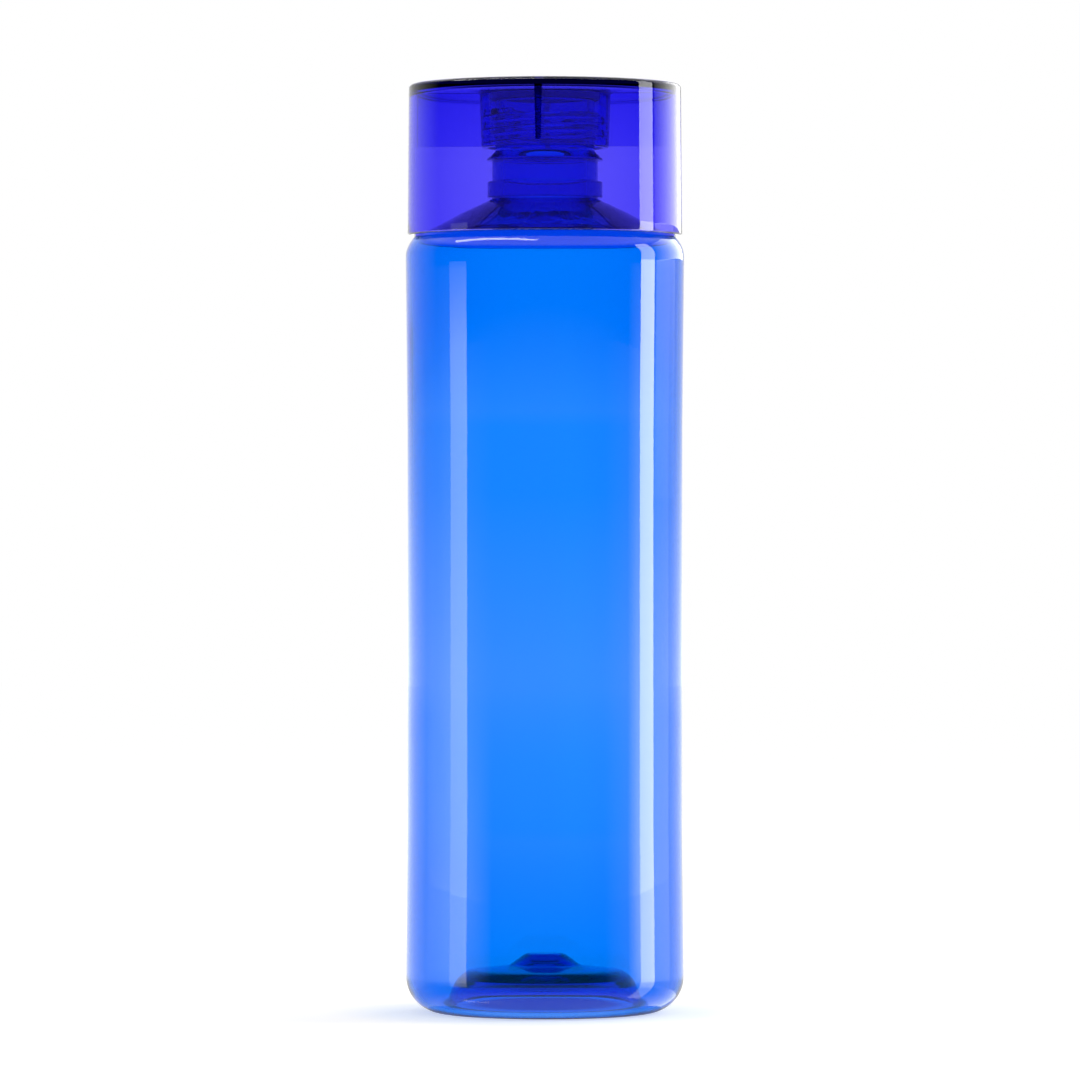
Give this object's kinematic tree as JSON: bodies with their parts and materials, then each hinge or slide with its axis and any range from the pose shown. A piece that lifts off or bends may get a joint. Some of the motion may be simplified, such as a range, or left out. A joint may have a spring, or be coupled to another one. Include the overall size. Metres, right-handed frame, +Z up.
{
  "type": "screw cap drinking bottle",
  "caption": "Tall straight-sided drinking bottle of clear tinted plastic, with a wide cup-shaped cap that screws onto a narrow threaded neck and a seal ring.",
  "frame": {"origin": "on the table under the bottle's axis, at the plane of the standing ring", "axes": "+Z up along the bottle's axis, -Y towards the viewer of the picture, +X to that viewer's right"},
  "size_m": [0.0732, 0.0732, 0.2435],
  "materials": {
    "bottle_plastic": "clear azure tint, polished",
    "cap_plastic": "clear violet-blue tint, polished",
    "seal_silicone": "natural milky silicone, satin"
  },
  "bodies": {
    "bottle": {"bottle_body": "bottle_plastic"},
    "seal": {"seal_ring": "seal_silicone"},
    "cap": {"screw_cap": "cap_plastic"}
  },
  "joints": [
    {"name": "cap_lift", "type": "slide", "parent": "bottle", "child": "seal", "axis": [0, 0, 1], "range_m": [0, 0.01361]},
    {"name": "cap_turn", "type": "hinge", "parent": "seal", "child": "cap", "pos_m": [0, 0, 0.2416], "axis": [0, 0, 1], "range_deg": [0, 1440]}
  ],
  "couplings": [
    {"joint": "cap_lift", "follows": "cap_turn", "m_per_rad": 0.00054113}
  ]
}
